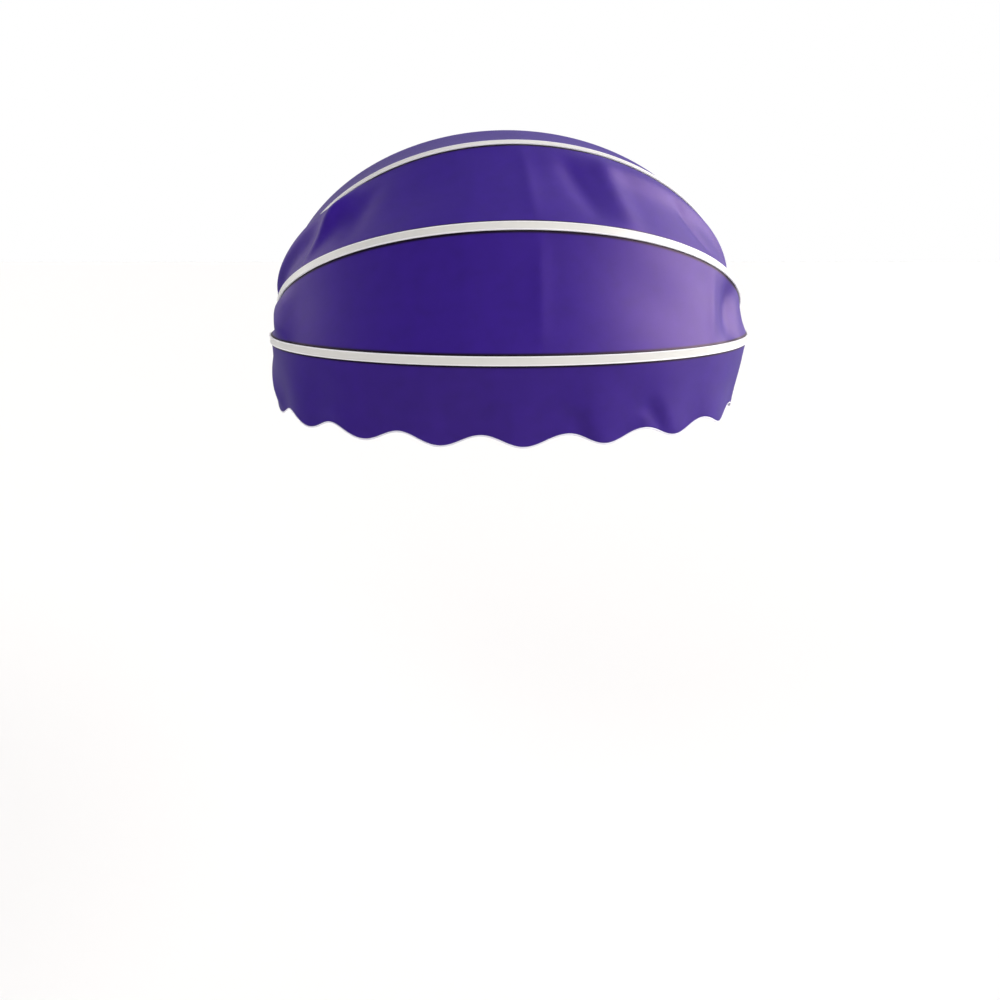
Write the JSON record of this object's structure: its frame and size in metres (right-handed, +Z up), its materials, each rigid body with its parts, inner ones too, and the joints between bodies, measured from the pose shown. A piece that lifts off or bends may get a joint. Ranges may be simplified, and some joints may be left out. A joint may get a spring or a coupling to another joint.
{
  "type": "door canopy",
  "caption": "Folding half-round door canopy: white hinged bows carry fabric panels and a scalloped valance, and its flat back fixes to a wall.",
  "frame": {"origin": "on the wall, at the middle of the wall bar's flat back face, level with the hinge line", "axes": "+Y into the wall, +Z up, +X to the right of someone who faces the wall; the canopy reaches out to -Y"},
  "size_m": [1.2, 0.5302, 0.681],
  "materials": {
    "purple_cloth": "matt woven awning cloth",
    "white_binding": "woven tape",
    "white_aluminium": "white powder coat over extruded aluminium",
    "cast_aluminium": "as cast",
    "zinc_steel": "zinc plated",
    "grey_plastic": "moulded"
  },
  "bodies": {
    "wall_frame": {"wall_bar": "white_aluminium", "wall_bar_cap_left": "grey_plastic", "wall_bar_cap_right": "grey_plastic", "wall_bow": "white_aluminium", "corner_plate_left": "zinc_steel", "corner_plate_right": "zinc_steel", "corner_rivet_left_1": "zinc_steel", "corner_rivet_left_2": "zinc_steel", "corner_rivet_right_1": "zinc_steel", "corner_rivet_right_2": "zinc_steel", "wall_clip_left": "zinc_steel", "wall_clip_right": "zinc_steel", "clip_rivet_left": "zinc_steel", "clip_rivet_right": "zinc_steel", "hinge_bracket_left": "zinc_steel", "hinge_bracket_right": "zinc_steel", "bracket_screw_left_1": "zinc_steel", "bracket_screw_left_2": "zinc_steel", "bracket_screw_right_1": "zinc_steel", "bracket_screw_right_2": "zinc_steel", "hinge_bolt_left": "zinc_steel", "hinge_bolt_right": "zinc_steel", "hinge_nut_left": "zinc_steel", "hinge_nut_right": "zinc_steel", "hinge_spacer_left_1": "grey_plastic", "hinge_spacer_left_2": "grey_plastic", "hinge_spacer_left_3": "grey_plastic", "hinge_spacer_right_1": "grey_plastic", "hinge_spacer_right_2": "grey_plastic", "hinge_spacer_right_3": "grey_plastic", "pulley_bracket": "zinc_steel", "pulley_rivet": "zinc_steel", "pulley_pin": "zinc_steel", "canopy_panel_upper": "purple_cloth"},
    "upper_rib": {"upper_bow": "white_aluminium", "upper_lug_left": "cast_aluminium", "upper_lug_right": "cast_aluminium", "upper_rivet_left": "zinc_steel", "upper_rivet_right": "zinc_steel", "upper_cord_eye": "zinc_steel", "canopy_panel_middle": "purple_cloth"},
    "middle_rib": {"middle_bow": "white_aluminium", "middle_lug_left": "cast_aluminium", "middle_lug_right": "cast_aluminium", "middle_rivet_left": "zinc_steel", "middle_rivet_right": "zinc_steel", "middle_cord_eye": "zinc_steel", "canopy_panel_lower": "purple_cloth"},
    "front_rib": {"front_bow": "white_aluminium", "front_lug_left": "cast_aluminium", "front_lug_right": "cast_aluminium", "front_rivet_left": "zinc_steel", "front_rivet_right": "zinc_steel", "front_cord_eye": "zinc_steel", "valance": "purple_cloth", "valance_binding": "white_binding"},
    "pulley": {"pulley_wheel": "grey_plastic"}
  },
  "joints": [
    {"name": "upper_fold", "type": "hinge", "parent": "wall_frame", "child": "upper_rib", "pos_m": [0, -0.036, 0], "axis": [-1, 0, 0], "range_deg": [0, 22], "deforming": ["canopy_panel_upper"]},
    {"name": "middle_fold", "type": "hinge", "parent": "upper_rib", "child": "middle_rib", "pos_m": [0, -0.036, 0], "axis": [-1, 0, 0], "range_deg": [0, 22], "deforming": ["canopy_panel_middle"]},
    {"name": "front_fold", "type": "hinge", "parent": "middle_rib", "child": "front_rib", "pos_m": [0, -0.036, 0], "axis": [-1, 0, 0], "range_deg": [0, 22], "deforming": ["canopy_panel_lower"]},
    {"name": "pulley_turn", "type": "hinge", "parent": "wall_frame", "child": "pulley", "pos_m": [0, -0.011, 0.47223], "axis": [1, 0, 0], "continuous": true}
  ],
  "couplings": [
    {"joint": "middle_fold", "follows": "upper_fold", "ratio": 1},
    {"joint": "front_fold", "follows": "upper_fold", "ratio": 1}
  ]
}
